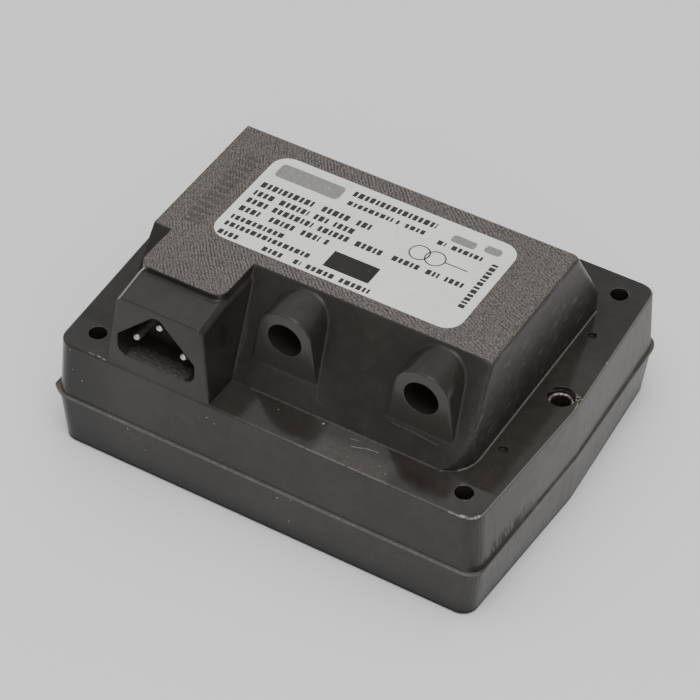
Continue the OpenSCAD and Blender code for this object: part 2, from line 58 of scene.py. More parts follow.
# Places on the part in millimetres, as packed
MOUNTS = {mount["name"]: mount for mount in frame["record"]["mounts"]}
HOLES = MOUNTS["fixing_holes"]["dims"]
HOLE_X = HOLES["spacing_x_mm"] / 2
HOLE_Y = HOLES["spacing_y_mm"] / 2
HOLE_RADIUS = HOLES["hole_r_mm"]
FLANGE_TOP = MOUNTS["fixing_holes"]["pos_m"][2] / MM
BUSH_X, BUSH_Y, BUSH_TOP = [part / MM for part in MOUNTS["earth_bush_bore"]["pos_m"]]
SOCKETS = [MOUNTS[name] for name in ("left_ht_socket", "right_ht_socket")]
BLOCK_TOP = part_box("moulded_body")[1].z / MM
LABEL_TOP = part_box("rating_label")[1].z / MM
RECESS_X = sum(corner.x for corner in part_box("earth_pin")) / 2 / MM

# Places on the moulded body that the model doesn't name, in millimetres
LIP = 15.3
FRONT_WALL = -46.5
RIGHT_WALL = 57.5
BLOCK_END = 46.0
RECESS_HALF_WIDTH = 11.4
RECESS_TOP = 52.6


# What a user would change


def tint(name, what, default):
    """A colour setting."""
    return FloatVectorProperty(
        name=name, description="Colour of the " + what, default=default, subtype="COLOR", size=3, min=0, max=1
    )


def length(name, description, default):
    """A length setting in metres."""
    return FloatProperty(name=name, description=description, default=default, unit="LENGTH", min=0)


def share(name, description, default):
    """A setting between 0 and 1."""
    return FloatProperty(name=name, description=description, default=default, subtype="FACTOR", min=0, max=1)


def amount(name, description, default, unit="NONE"):
    """A setting from 0 up."""
    return FloatProperty(name=name, description=description, default=default, unit=unit, min=0)


def degrees(name, description, value):
    """An angle setting, given in degrees."""
    return FloatProperty(name=name, description=description, default=math.radians(value), subtype="ANGLE")


class CastingLook(bpy.types.PropertyGroup):
    """Finish of the moulded body."""

    wall: tint("Wall", "smooth walls", (0.02, 0.0172, 0.0148))
    dusty_wall: tint("Dusty wall", "dusty walls", (0.029, 0.0262, 0.0235))
    grain: tint("Grain", "grained top", (0.16, 0.145, 0.132))
    grain_pit: tint("Grain pits", "grained top's pits", (0.036, 0.032, 0.028))
    # Also the colour of the painted highlights and painted light on edges, on the lip and below the right
    # socket
    worn_and_highlit: tint("Worn edge", "scuffs and worn edges", (0.34, 0.31, 0.28))
    dust: tint("Dust", "fine dust at the flange's right end", (0.3, 0.3, 0.21))
    wall_roughness: share("Wall roughness", "Roughness of the smooth walls", 0.17)
    ledge_roughness: share("Ledge roughness", "Roughness of the flange's glossy top", 0.09)
    end_roughness: share("End roughness", "Roughness of the rubbed right end", 0.36)
    grain_roughness: share("Grain roughness", "Roughness of the grained top", 0.78)
    hatch_pitch: FloatVectorProperty(
        name="Hatch pitch", description="Lines to a millimetre along X and Y at the top's middle",
        default=(0.845, 0.852, 0.0), size=3,
    )
    hatch_depth: share("Hatch depth", "How much the hatching shows in the grain", 0.1)
    edge_width: length("Edge width", "Softened width of crisp edges", 0.00022)
    ridge_width: length("Ridge width", "Softened width of the block's ridges", 0.0011)
    corner_width: length("Corner width", "Softened width of the block's right corners", 0.0022)
    foot_lift: amount("Foot lift", "How far the rounded foot's finish turns back up", 0.8)
    ledge_lean: degrees("Ledge lean", "How far the front of the flange's top leans forward", 6.6)
    resin: tint("Resin", "set resin in the plug recess", (0.07, 0.064, 0.058))
    # Painted shade: colour of the resin's hollows
    resin_hollow_shade: tint("Resin hollows", "hollows in the resin", (0.016, 0.015, 0.014))
    resin_grit: tint("Resin grit", "pale grit in the resin", (0.24, 0.22, 0.2))


class LabelLook(bpy.types.PropertyGroup):
    """Film and print of the rating label."""

    film: tint("Film", "label's film", (0.735, 0.735, 0.71))
    stain: tint("Stain", "yellowed spot of the film", (0.7, 0.68, 0.58))
    ink: tint("Ink", "rows of print", (0.024, 0.023, 0.022))
    field: tint("Dark field", "dark field", (0.014, 0.013, 0.012))
    block_gap: length("Block gap", "Gap between the blocks in a row of print", 0.00045)
    ink_thickness: length("Ink thickness", "How far the print stands on the film", 0.00002)


class MetalLook(bpy.types.PropertyGroup):
    """Plated, brass and steel parts."""

    plate: tint("Plate", "plated pins", (0.56, 0.55, 0.53))
    zinc: tint("Zinc", "earth bush's bright rim", (0.55, 0.54, 0.51))
    tarnish: tint("Tarnish", "earth bush's tarnished bore", (0.085, 0.066, 0.05))
    brass: tint("Brass", "brass contacts and strap", (0.72, 0.56, 0.27))
    iron: tint("Iron", "varnished laminations", (0.16, 0.165, 0.175))
    rust: tint("Rust", "rust on the laminations", (0.1, 0.045, 0.02))


class InnerLook(bpy.types.PropertyGroup):
    """Coils, tape and leads inside the moulding."""

    nylon: tint("Nylon", "bobbins", (0.72, 0.69, 0.58))
    enamel: tint("Enamel", "enamelled wire", (0.5, 0.19, 0.06))
    tape: tint("Tape", "coil tape", (0.72, 0.5, 0.08))
    line: tint("Line lead", "line lead", (0.16, 0.065, 0.022))
    neutral: tint("Neutral lead", "neutral lead", (0.03, 0.09, 0.38))
    earth: tint("Earth lead", "earth lead", (0.25, 0.36, 0.04))
    high_tension: tint("High tension leads", "high tension leads", (0.38, 0.05, 0.03))
    midpoint: tint("Midpoint leads", "midpoint leads", (0.1, 0.1, 0.1))


class StageLook(bpy.types.PropertyGroup):
    """Floor and lights."""

    floor: tint("Floor", "floor", (0.8, 0.8, 0.8))
    surround: amount("Surround", "Brightness of the studio at eye level", 0.4)
    canopy: amount("Canopy", "Extra brightness right above", 1.7)
    key_power: amount("Key light", "Power of the overhead light", 4.2, "POWER")
    fill_power: amount("Fill light", "Power of the front light", 1.5, "POWER")


class CameraPlace(bpy.types.PropertyGroup):
    """Where the photograph was taken from."""

    azimuth: degrees("Azimuth", "Turn from the front", 29.087)
    elevation: degrees("Elevation", "Height over the floor", 43.187)
    roll: degrees("Roll", "Turn about the line of sight", 2.04)
    distance: length("Distance", "Distance to the aim point", 0.6748)
    focal_length: amount("Focal length", "Lens on a 36 mm sensor", 141.74, "CAMERA")
    aim: FloatVectorProperty(
        name="Aim", description="Point that the camera looks at", default=(-0.00195, -0.001626, 0.0204),
        subtype="TRANSLATION", unit="LENGTH", size=3,
    )


# Painting materials


class Nodes:
    """Adds nodes to a material or a world."""

    def __init__(self, tree):
        self.tree = tree

    def feed(self, socket, value):
        """Links a socket, or sets a plain value."""
        if isinstance(value, bpy.types.NodeSocket):
            self.tree.links.new(value, socket)
        elif hasattr(value, "__len__") and len(value) == 3 and len(socket.default_value) == 4:
            socket.default_value = (*value, 1)
        else:
            socket.default_value = value

    def add(self, kind, inputs=None, **settings):
        """Adds a node with its settings, and feeds its inputs."""
        node = self.tree.nodes.new("ShaderNode" + kind)
        for name, setting in settings.items():
            setattr(node, name, setting)
        for socket, value in (inputs or {}).items():
            self.feed(node.inputs[socket], value)
        return node

    def axes(self, vector):
        """The three parts of a vector."""
        return tuple(self.add("SeparateXYZ", {0: vector}).outputs)

    def calc(self, operation, a, b=0.0, c=0.0):
        """Arithmetic on numbers."""
        return self.add("Math", {0: a, 1: b, 2: c}, operation=operation).outputs[0]


class Finish(Nodes):
    """A material and the nodes that paint it, with places in millimetres of the part."""

    def __init__(self, name, metallic=0.0, specular=0.5, coat=0.0, coat_roughness=0.1):
        self.material = bpy.data.materials.new(name)
        self.material.use_nodes = True
        super().__init__(self.material.node_tree)
        self.tree.nodes.clear()
        self.shader = self.add("BsdfPrincipled", {
            "Metallic": metallic, "Specular IOR Level": specular,
            "Coat Weight": coat, "Coat Roughness": coat_roughness,
        })
        self.add("OutputMaterial", {"Surface": self.shader.outputs["BSDF"]})
        self.place = self.times(self.add("TexCoord").outputs["Object"], 1 / MM)
        self.x, self.y, self.z = self.axes(self.place)
        self.facing = self.add("NewGeometry").outputs["Normal"]
        self.up = self.axes(self.facing)[2]

    def vector(self, operation, a, b):
        """Vector arithmetic."""
        node = self.add("VectorMath", {0: a, 1: b}, operation=operation)
        return node.outputs["Value" if operation in ("DOT_PRODUCT", "DISTANCE") else "Vector"]

    def times(self, vector, factor):
        """A vector scaled by a number."""
        return self.add("VectorMath", {"Vector": vector, "Scale": factor}, operation="SCALE").outputs[0]

    def rise(self, value, low, high):
        """0 below low, 1 above high and smooth between; falls where low is above high."""
        start, end = (0.0, 1.0) if low < high else (1.0, 0.0)
        ends = {"From Min": min(low, high), "From Max": max(low, high), "To Min": start, "To Max": end}
        return self.add("MapRange", {"Value": value, **ends}, interpolation_type="SMOOTHSTEP").outputs[0]

    def between(self, value, low, high, soft):
        """1 between low and high, and 0 beyond soft outside them."""
        return self.area(self.rise(value, low - soft, low), self.rise(value, high + soft, high))

    def area(self, *masks, **spans):
        """Product of masks and of named values' spans: (low, high) rises, (low, high, soft) lies between."""
        masks = list(masks)
        for name, span in spans.items():
            within = self.rise if len(span) == 2 else self.between
            masks.append(within(getattr(self, name), *span))
        result = masks[0]
        for mask in masks[1:]:
            result = self.calc("MULTIPLY", result, mask)
        return result

    def either(self, *masks):
        """Strongest of masks."""
        result = masks[0]
        for mask in masks[1:]:
            result = self.calc("MAXIMUM", result, mask)
        return result

    def grain(self, size, detail=4.0, roughness=0.6, stretch=(1, 1, 1), turn=0.0):
        """Noise with features about size millimetres wide, turned about Z and drawn out by stretch."""
        inputs = {"Vector": self.place, "Angle": math.radians(turn)}
        turned = self.add("VectorRotate", inputs, rotation_type="Z_AXIS")
        drawn = self.vector("MULTIPLY", turned.outputs["Vector"], tuple(1 / s for s in stretch))
        inputs = {"Vector": drawn, "Scale": 1 / size, "Detail": detail, "Roughness": roughness}
        return self.add("TexNoise", inputs).outputs["Fac"]

    def bands(self, direction, scale, distortion):
        """Even bands that follow each other along an axis."""
        inputs = {"Vector": self.place, "Scale": scale, "Distortion": distortion}
        return self.add("TexWave", inputs, wave_type="BANDS", bands_direction=direction).outputs["Fac"]

    def specks(self, pitch, size):
        """Round specks of about size millimetres, one to a cell of pitch millimetres."""
        cells = self.add("TexVoronoi", {"Vector": self.place, "Scale": 1 / pitch})
        return self.rise(cells.outputs["Distance"], size / pitch, 0.5 * size / pitch)

    def dot(self, centre, radius):
        """1 on a spot, fading to 0 at its radius."""
        return self.rise(self.vector("DISTANCE", self.place, centre), radius, radius / 3)

    def stroke(self, start, end, width):
        """1 on the line from start to end, fading to 0 at half of width from it."""
        run = Vector(end) - Vector(start)
        away = self.vector("SUBTRACT", self.place, start)
        along = self.calc("DIVIDE", self.vector("DOT_PRODUCT", away, tuple(run)), run.length_squared)
        clamped = self.calc("MINIMUM", self.calc("MAXIMUM", along, 0.0), 1.0)
        gap = self.vector("DISTANCE", away, self.times(tuple(run), clamped))
        return self.rise(gap, width / 2, width / 6)

    def trail(self, points, width, strength=1.0):
        """A line through the points, with its strength."""
        line = self.either(*[self.stroke(a, b, width) for a, b in zip(points, points[1:])])
        return self.area(line, strength)

    def ring(self, x, y, radius, width):
        """1 on a circle about an upright axis, fading over width."""
        flat = self.vector("MULTIPLY", self.place, (1, 1, 0))
        gap = self.calc("ABSOLUTE", self.calc("SUBTRACT", self.vector("DISTANCE", flat, (x, y, 0)), radius))
        return self.rise(gap, width, width / 4)

    def blend(self, mask, a, b):
        """Colour a where the mask is 0 and b where it is 1."""
        return self.add("Mix", {0: mask, 6: a, 7: b}, data_type="RGBA").outputs[2]

    def slide(self, mask, a, b):
        """Number a where the mask is 0 and b where it is 1."""
        return self.add("Mix", {0: mask, 2: a, 3: b}).outputs[0]

    def leaned(self, normal, lean, mask):
        """The normal leaned by a vector where the mask is 1."""
        return self.vector("NORMALIZE", self.vector("ADD", normal, self.times(lean, mask)), (0, 0, 0))

    def bump(self, height, depth, normal=None):
        """A normal that stands for height times depth millimetres."""
        inputs = {"Distance": depth * MM, "Height": height}
        if normal is not None:
            inputs["Normal"] = normal
        return self.add("Bump", inputs).outputs["Normal"]

    def paint(self, colour, roughness, normal):
        """Sets what the surface shows, and gives the material back."""
        for socket, value in {"Base Color": colour, "Roughness": roughness, "Normal": normal}.items():
            self.feed(self.shader.inputs[socket], value)
        return self.material


def shade(colour, factor):
    """The colour made lighter or darker."""
    return tuple(min(1.0, part * factor) for part in colour)


# Handling marks and painted highlights on the moulded body in millimetres: the line's points, width and
# strength
MARKS_AND_HIGHLIGHTS = (
    (((20.8, -40.3, 32.2), (22.2, -40, 32.2), (23.8, -39.3, 32.2),
      (25.2, -39, 32.2), (27.1, -38.9, 32.2)), 0.32, 0.55),
    (((19.4, -38.2, 32.2), (22, -37.9, 32.2)), 0.25, 0.3),
    (((27.2, -33.1, 37.2), (33.4, -33.2, 37.1), (39.7, -33.5, 36.6)), 0.34, 0.14),
    (((7, -32.7, 37.9), (7.8, -34.3, 35.3), (9.7, -34.7, 34.7)), 0.3, 0.07),
    (((46.7, 11, 49.5), (46.7, 7.5, 49)), 0.34, 0.4),
    (((46.5, -4.4, 51.6), (46.7, -8.1, 49)), 0.34, 0.5),
    (((46.6, -3.3, 50.1), (46.7, -6.7, 49.1)), 0.3, 0.3),
    # Painted highlight along the rounded back corner of the block's right end
    (((46, 21.6, 54.9), (46.2, 23.3, 52.2), (46.5, 25.4, 48.6), (46.8, 28.2, 44.1)), 0.95, 0.95),
    (((57.3, 1.7, 32.2), (58.3, 2.2, 32.2), (58.6, 1.5, 32.2), (59.2, 1.9, 32.1)), 0.34, 0.75),
    (((57.4, 1.2, 32.2), (58.2, 0.7, 32.2), (58.5, 1, 32.2)), 0.36, 0.8),
    (((58.6, 0.3, 32.2), (59, -0.8, 32.2), (58.9, -1.9, 32.2)), 0.34, 0.6),
    (((57.1, 2.6, 32.2), (57.6, 2.3, 32.2)), 0.3, 0.45),
    (((49.8, -46.4, 32), (52.6, -46.4, 32), (54.4, -46.1, 32), (55.6, -45.4, 32)), 0.55, 0.5),
    (((52.9, -46.2, 32.1), (54.2, -46, 32.1)), 0.95, 0.85),
    (((55.9, -45, 32.1), (56.4, -44.2, 32.1)), 0.9, 0.85),
    (((-48, -46.2, 32.1), (-46.6, -46.3, 32.1)), 0.45, 0.35),
    (((-45.6, -46.1, 32.2), (-44.6, -46.2, 32.2), (-43.4, -46.3, 32.1)), 0.45, 0.55),
    # Painted highlight along the fillet at the foot of the block's front slope
    (((-9, -36.3, 32.2), (10, -36.3, 32.2), (42.5, -36.3, 32.2)), 0.8, 0.09),
    # Painted highlight along the rounded back edge of the top
    (((-43.5, 21.2, 56.2), (46, 21.2, 56.2)), 0.8, 0.22),
)
# Light seam at the foot of the block's right end, and the faint one on the inlet's slope
FOOT = (
    (47.9, 31, 32.3), (47.9, -28.4, 32.3), (47.5, -30.6, 32.3), (46.8, -32.4, 32.3), (45.6, -34.1, 32.3),
)
SLOPE_SEAM = ((-15.6, -23.5, 54.6), (-13.4, -35.6, 33), 1.4)
# Painted highlights along edges of the inlet block: start, end and width
INLET_HIGHLIGHTS = (
    ((-42.7, -46.2, 32.4), (-41.2, -45, 52.8), 1),
    ((-41.2, -45, 52.8), (-40, -36, 54.6), 1),
    ((-46.9, -36.4, 32.6), (-45.3, -24, 54), 1.6),
)
# Pale spots: middle and radius
SPOTS = (
    ((11.6, -37.4, 32.2), 0.34),
    ((29.6, -42.5, 32.2), 0.18),
    ((31.9, -43.9, 32.2), 0.16),
    ((-14.6, -46.7, 28.3), 0.26),
    ((-12.5, -46.7, 27.3), 0.2),
    ((5.2, -47.2, 12.5), 0.3),
    ((8.9, -47.3, 13.7), 0.22),
    ((8.4, -46.9, 6.1), 0.22),
    ((-37, -47.2, 13.2), 0.26),
    ((-32.2, -47, 8.3), 0.2),
    ((-53.3, -46.6, 30.7), 0.22),
    ((-50.1, -46.8, 22.2), 0.25),
    ((-52.7, -46.7, 24.6), 0.2),
    ((58.4, 16.1, 32.1), 0.34),
)
# Row of plain bars on the left of the top: its ends along X and Y, and from bar to bar
BARS_X = (-40.2, -35.8)
BARS_Y = (-16.7, 11.5)
BAR_PITCH = 2.3
# How the top's hatching opens towards the right and bows, in lines to a square millimetre
HATCH_OPENING = (-0.0043, 0.0031, 0)
HATCH_BOW = -0.0012


class CastingFinish(Finish):
    """Dark moulded compound: glossy walls, a matt grained top, rubbed edges and handling marks, with painted
    highlights, painted light and painted shade in places.
    """

    def __init__(self, look):
        super().__init__("body_moulding", specular=0.375)
        self.look = look
        self.cloud = self.grain(26, 5, 0.62)
        self.mottle = self.grain(3.2, 6, 0.7)
        self.broken = self.grain(1.4, 5, 0.75)
        self.rubs = self.rise(self.grain(0.55, 4, 0.6, (1, 1, 12)), 0.5, 0.72)
        level = self.area(up=(0.8, 0.95))
        self.top = self.area(up=(0.55, 0.85), z=(BLOCK_TOP - 1, BLOCK_TOP - 0.4))
        self.ledge = self.area(level, z=(FLANGE_TOP - 0.6, FLANGE_TOP + 0.2, 0.2))
        self.front_ledge = self.area(self.ledge, y=(-36, -37.2))
        self.block = self.area(z=(FLANGE_TOP + 1, FLANGE_TOP + 2.2))
        self.block_end = self.area(self.block, x=(BLOCK_END - 2.5, BLOCK_END))
        wall_or_lip = self.either(self.rise(level, 0.6, 0.1), self.area(z=(LIP + 4.7, LIP + 1.7)))
        self.right_end = self.area(wall_or_lip, x=(RIGHT_WALL - 3, RIGHT_WALL))

    def rounded_normal(self):
        """The normal with rounded ridges, and crisp edges where the tool was sharp."""
        recess_left, recess_right = RECESS_X - RECESS_HALF_WIDTH, RECESS_X + RECESS_HALF_WIDTH
        crisp = [
            self.area(x=(-39.4, -40.4), y=(-34.5, -36)),
            self.area(x=(recess_left, recess_right, 0.3), y=(-35, -36), z=(RECESS_TOP + 0.3, RECESS_TOP)),
        ]
        upright = self.vector("MULTIPLY", self.place, (1, 0, 1))
        for socket in SOCKETS:
            axis = (socket["pos_m"][0] / MM, 0, socket["pos_m"][2] / MM)
            radius = socket["dims"]["r_mm"]
            crisp.append(self.rise(self.vector("DISTANCE", upright, axis), radius + 1.3, radius + 0.8))
        soft = self.area(self.block, self.calc("SUBTRACT", 1, self.either(*crisp)))
        near_end = self.area(x=(BLOCK_END - 4, BLOCK_END - 1))
        ridge = self.slide(near_end, self.look.ridge_width, self.look.corner_width)
        width = self.slide(soft, self.look.edge_width, ridge)
        return self.add("Bevel", {"Radius": width}, samples=6).outputs["Normal"]

    def leaned_normal(self, rounded):
        """The front of the flange's top leans forward, and the rounded foot turns back up."""
        forward = (0, -math.tan(self.look.ledge_lean), 0)
        leaned = self.leaned(rounded, forward, self.front_ledge)
        return self.leaned(leaned, (0, 0, self.look.foot_lift), self.area(z=(1.5, 0.3)))

    def walls(self):
        """Colour of the walls: settled dust, painted shade on the front left and at the foot, and painted
        light on the bosses' faces.
        """
        look = self.look
        settled = self.calc("MULTIPLY_ADD", self.cloud, 0.65, self.calc("MULTIPLY", self.mottle, 0.35))
        wall = self.blend(self.rise(settled, 0.4, 0.66), look.wall, look.dusty_wall)
        # Painted shade: the left end of the front wall darker
        painted_shade_front_left = self.area(x=(-34, -54), y=(FRONT_WALL + 0.5, FRONT_WALL + 0.1))
        wall = self.blend(painted_shade_front_left, wall, shade(look.wall, 0.45))
        # Painted shade: darker towards the foot, standing in for the reflected contact shadow
        wall = self.blend(self.area(z=(6, 0.8)), wall, shade(look.wall, 0.3))
        # Painted light: the bosses' front faces paler, as if lit from the front
        frontward = self.rise(self.axes(self.facing)[1], -0.94, -0.98)
        painted_lit_boss_faces = self.area(self.block, frontward, y=(-33.3, -32.2, 0.2))
        return self.blend(painted_lit_boss_faces, wall, shade(look.dusty_wall, 1.5))

    def dust_and_painted_reflection(self, wall):
        """Gritty dust on the flange, below the right socket and along the right end; below the socket it is
        also painted reflection.
        """
        grit = self.area(self.rise(self.grain(0.3, 3, 0.7), 0.5, 0.7), broken=(0.42, 0.62))
        # Below the right socket: grit, and painted reflection of the bright studio between the bosses' dark
        # reflections
        below = self.area(self.front_ledge, x=(15, 31.5, 3), y=(-38.5, -43))
        wall = self.blend(self.area(below, self.slide(grit, 0.05, 0.28)), wall, self.look.worn_and_highlit)
        along = self.area(self.ledge, x=(47.5, 51), y=(-36, 12, 8))
        return self.blend(self.area(along, self.slide(grit, 0.01, 0.09)), wall, self.look.dust)

    def weaves(self):
        """Height of the top's grain: hatching that opens towards the right, over finer grain."""
        turns = self.vector("DOT_PRODUCT", self.place, self.look.hatch_pitch)
        opening = self.vector("DOT_PRODUCT", self.place, HATCH_OPENING)
        turns = self.calc("MULTIPLY_ADD", self.x, opening, turns)
        turns = self.calc("MULTIPLY_ADD", self.calc("MULTIPLY", self.y, self.y), HATCH_BOW, turns)
        turns = self.calc("ADD", turns, self.grain(1.8, 2, 0.5))
        middle = self.slide(self.area(x=(-32, 22, 14)), 0.45, 1)
        strength = self.area(middle, self.look.hatch_depth, mottle=(0.36, 0.64))
        hatch = self.calc("MULTIPLY", self.calc("SINE", self.calc("MULTIPLY", turns, math.tau)), strength)
        threads = self.grain(0.19, 2, 0.5, (4, 1, 1), 41)
        finer = self.calc("MULTIPLY", self.grain(0.22, 2, 0.5), 0.34)
        return self.calc("ADD", self.calc("MULTIPLY_ADD", threads, 0.66, finer), hatch)

    def bars(self):
        """Plain bars where the top carries a moulded mark."""
        along = self.calc("PINGPONG", self.calc("SUBTRACT", self.y, BARS_Y[0]), BAR_PITCH / 2)
        row = self.area(x=(*BARS_X, 0.3), y=(*BARS_Y, 0.3))
        return self.area(self.top, row, self.rise(along, 0.75, 0.5))

    def grained_top(self, weaves, bars):
        """Colour of the top, darker in its pits and on the bars."""
        look = self.look
        clouded = self.blend(self.cloud, shade(look.grain, 0.85), shade(look.grain, 1.15))
        grained = self.blend(self.rise(weaves, 0.61, 0.39), clouded, look.grain_pit)
        return self.blend(self.area(bars, 0.42), grained, look.grain_pit)

    def rim_wear_and_highlight(self):
        """The flange's rim, rubbed and with a painted highlight, bright along the front and at the right end.
        """
        rim = self.area(up=(0.4, 0.9, 0.08), z=(FLANGE_TOP - 0.28, FLANGE_TOP - 0.04, 0.06))
        rubbed = self.slide(self.area(x=(11.8, 32, 4)), 0.15, 0.26)
        front = self.area(rubbed, x=(-16, 6), y=(FRONT_WALL + 0.9, FRONT_WALL + 0.3))
        # Rubbing wear and a painted highlight along the rim's rounded edge
        return self.area(rim, self.either(
            self.area(front, broken=(0.28, 0.5)),
            self.area(0.32, x=(RIGHT_WALL - 2, RIGHT_WALL - 0.5), broken=(0.22, 0.42)),
            self.area(0.06, x=(-8, -20), broken=(0.15, 0.45)),
        ))

    def lip_painted_light(self):
        """The parting line's lip, paler on its underside, its edge and its top: painted highlight on the
        underside and the edge, and painted light on the top, which reflects the dark wall above.
        """
        below = self.area(self.rise(self.z, LIP + 0.1, LIP), z=(LIP - 0.8, LIP - 0.15))
        edge = self.area(y=(FRONT_WALL - 0.7, FRONT_WALL - 0.85), z=(LIP - 0.18, LIP + 0.1, 0.05))
        above = self.area(y=(FRONT_WALL + 0.5, FRONT_WALL - 0.1), z=(LIP - 0.05, LIP + 0.7, 0.15))
        # Painted highlight on the lip's face and edge, painted light on its top
        return self.either(
            self.area(below, self.slide(self.area(y=(FRONT_WALL + 3, FRONT_WALL)), 0.07, 0.22)),
            self.area(edge, 0.42, broken=(0.35, 0.6)),
            self.area(above, self.slide(self.broken, 0.05, 0.15)),
        )

    def mouths_and_inlet_highlights(self, edge):
        """The mouths of the fixing holes, and painted highlights along the edges of the inlet block."""
        places = [(x, y) for x in (-HOLE_X, HOLE_X) for y in (-HOLE_Y, HOLE_Y)]
        mouths = self.either(*[self.ring(x, y, HOLE_RADIUS + 0.1, 0.3) for x, y in places])
        inlet = self.either(*[self.stroke(*run) for run in INLET_HIGHLIGHTS])
        return self.either(
            self.area(mouths, self.ledge, 0.3, broken=(0.5, 0.66)),
            # Painted highlights on the inlet block's rounded edges
            self.area(edge, inlet, 0.28),
        )

    def handling_marks_and_highlights(self):
        """Scratches, pale spots, the two seams, and painted highlights along three rounded edges."""
        scratches_and_highlights = self.either(*[self.trail(*mark) for mark in MARKS_AND_HIGHLIGHTS])
        return self.either(
            self.area(scratches_and_highlights, broken=(0.36, 0.52)),
            self.either(*[self.dot(*spot) for spot in SPOTS]),
            self.area(self.stroke(*SLOPE_SEAM), 0.05, mottle=(0.35, 0.65)),
            self.area(self.trail(FOOT, 0.8), self.slide(self.broken, 0.2, 0.5)),
        )

    def scuffs(self):
        """Drawn-out scuffs of the right end and the block's end, and stray flecks."""
        calm = self.slide(self.area(z=(LIP - 1.9, LIP - 0.1)), 0.75, 1)
        streaky = self.area(self.slide(self.rubs, 0.5, 1), self.slide(self.mottle, 0.04, 0.46), calm)
        drags = self.rise(self.grain(0.45, 4, 0.6, (1, 9, 2)), 0.54, 0.74)
        off_top = self.area(top=(0.5, 0))
        return self.either(
            self.area(self.right_end, streaky, y=(-54, -8)),
            self.area(self.block_end, drags, 0.16),
            self.area(self.specks(6.5, 0.2), self.rise(self.grain(9, 2), 0.54, 0.62), off_top, 0.6),
        )

    def smear(self):
        """Dark dirt over the lip at the front of the right end, drawn up in streaks."""
        streaks = self.rise(self.grain(1.1, 3, 0.6, (1, 1, 5)), 0.43, 0.6)
        dirt = self.area(self.either(streaks, self.area(z=(LIP + 2.7, LIP + 0.9))), 0.9)
        over_lip = self.area(y=(-15, -32), z=(LIP - 0.1, LIP + 0.2))
        return self.area(self.right_end, over_lip, dirt, z=(LIP + 6.7, LIP + 0.7))

    def roughness(self, smear, marked_and_highlit):
        """Glossy flange, satin walls, rubbed right end and matt top."""
        look = self.look
        smooth = self.slide(self.mottle, look.wall_roughness - 0.07, look.wall_roughness + 0.12)
        smooth = self.slide(self.ledge, smooth, look.ledge_roughness)
        rubbed = self.slide(self.rubs, look.end_roughness - 0.04, look.end_roughness + 0.14)
        smooth = self.slide(self.right_end, smooth, rubbed)
        smooth = self.slide(self.block_end, smooth, look.end_roughness)
        smooth = self.slide(smear, smooth, 0.95)
        return self.slide(marked_and_highlit, self.slide(self.top, smooth, look.grain_roughness), 0.75)

    def height(self, weaves, bars):
        """Height of the surface: skin all over, the top's grain and sunk bars, the right end's rubs."""
        finest = self.calc("MULTIPLY", self.grain(0.35, 3, 0.6), 0.02)
        skin = self.calc("MULTIPLY_ADD", self.mottle, 0.1, finest)
        height = self.calc("MULTIPLY_ADD", self.area(self.top, weaves), 0.9, skin)
        height = self.calc("MULTIPLY_ADD", self.rubs, self.calc("MULTIPLY", self.right_end, -0.02), height)
        return self.calc("SUBTRACT", height, self.calc("MULTIPLY", bars, 0.5))

    def painted(self):
        """Puts the areas together, and gives the material back."""
        rounded = self.rounded_normal()
        edge = self.rise(self.vector("DOT_PRODUCT", rounded, self.facing), 0.985, 0.8)
        worn_and_highlit = self.either(self.rim_wear_and_highlight(), self.lip_painted_light(), self.mouths_and_inlet_highlights(edge))
        marked_and_highlit = self.either(worn_and_highlit, self.handling_marks_and_highlights(), self.scuffs())
        weaves, bars, smear = self.weaves(), self.bars(), self.smear()
        colour = self.blend(self.top, self.dust_and_painted_reflection(self.walls()), self.grained_top(weaves, bars))
        colour = self.blend(smear, colour, shade(self.look.wall, 0.4))
        # Wear and marks, with the painted highlights and painted light, in the pale colour
        colour = self.blend(marked_and_highlit, colour, self.look.worn_and_highlit)
        normal = self.bump(self.height(weaves, bars), 0.25, self.leaned_normal(rounded))
        return self.paint(colour, self.roughness(smear, marked_and_highlit), normal)


# Yellowed spot of the label in millimetres: its middle and radius
STAIN = (31, 6.5)
STAIN_RADIUS = 6


def film_finish(look):
    """Pale printed film with a faint sheen, handling dirt and painted shade on its cut edges."""
    f = Finish("label_film", specular=0.45)
    cloud = f.grain(18, 5, 0.6)
    fine = f.grain(0.5, 4, 0.7)
    dirt = f.area(f.rise(f.grain(5, 6, 0.7), 0.5, 0.72), 0.5)
    colour = f.blend(cloud, shade(look.film, 0.9), shade(look.film, 1.06))
    colour = f.blend(dirt, colour, shade(look.film, 0.72))
    colour = f.blend(f.area(f.specks(4, 0.22), f.rise(cloud, 0.45, 0.6)), colour, shade(look.film, 0.35))
    stain = f.area(f.dot((*STAIN, LABEL_TOP), STAIN_RADIUS), f.slide(cloud, 0.5, 1))
    colour = f.blend(stain, colour, look.stain)
    # Painted shade: the sideways-facing cut edges darker
    colour = f.blend(f.rise(f.up, 0.7, 0.2), colour, shade(look.film, 0.6))
    height = f.calc("MULTIPLY_ADD", fine, 0.15, cloud)
    return f.paint(colour, f.slide(fine, 0.38, 0.52), f.bump(height, 0.03))


def ink_finish(name, ink):
    """Thin ink that lets a little of the film through."""
    f = Finish(name, specular=0.3)
    fine = f.grain(0.3, 4, 0.7)
    colour = f.blend(f.rise(fine, 0.45, 0.7), ink, shade(ink, 1.7))
    colour = f.blend(f.area(f.specks(1.6, 0.2), f.rise(f.grain(5, 3), 0.5, 0.6)), colour, shade(ink, 7))
    return f.paint(colour, f.slide(fine, 0.42, 0.6), f.bump(fine, 0.01))


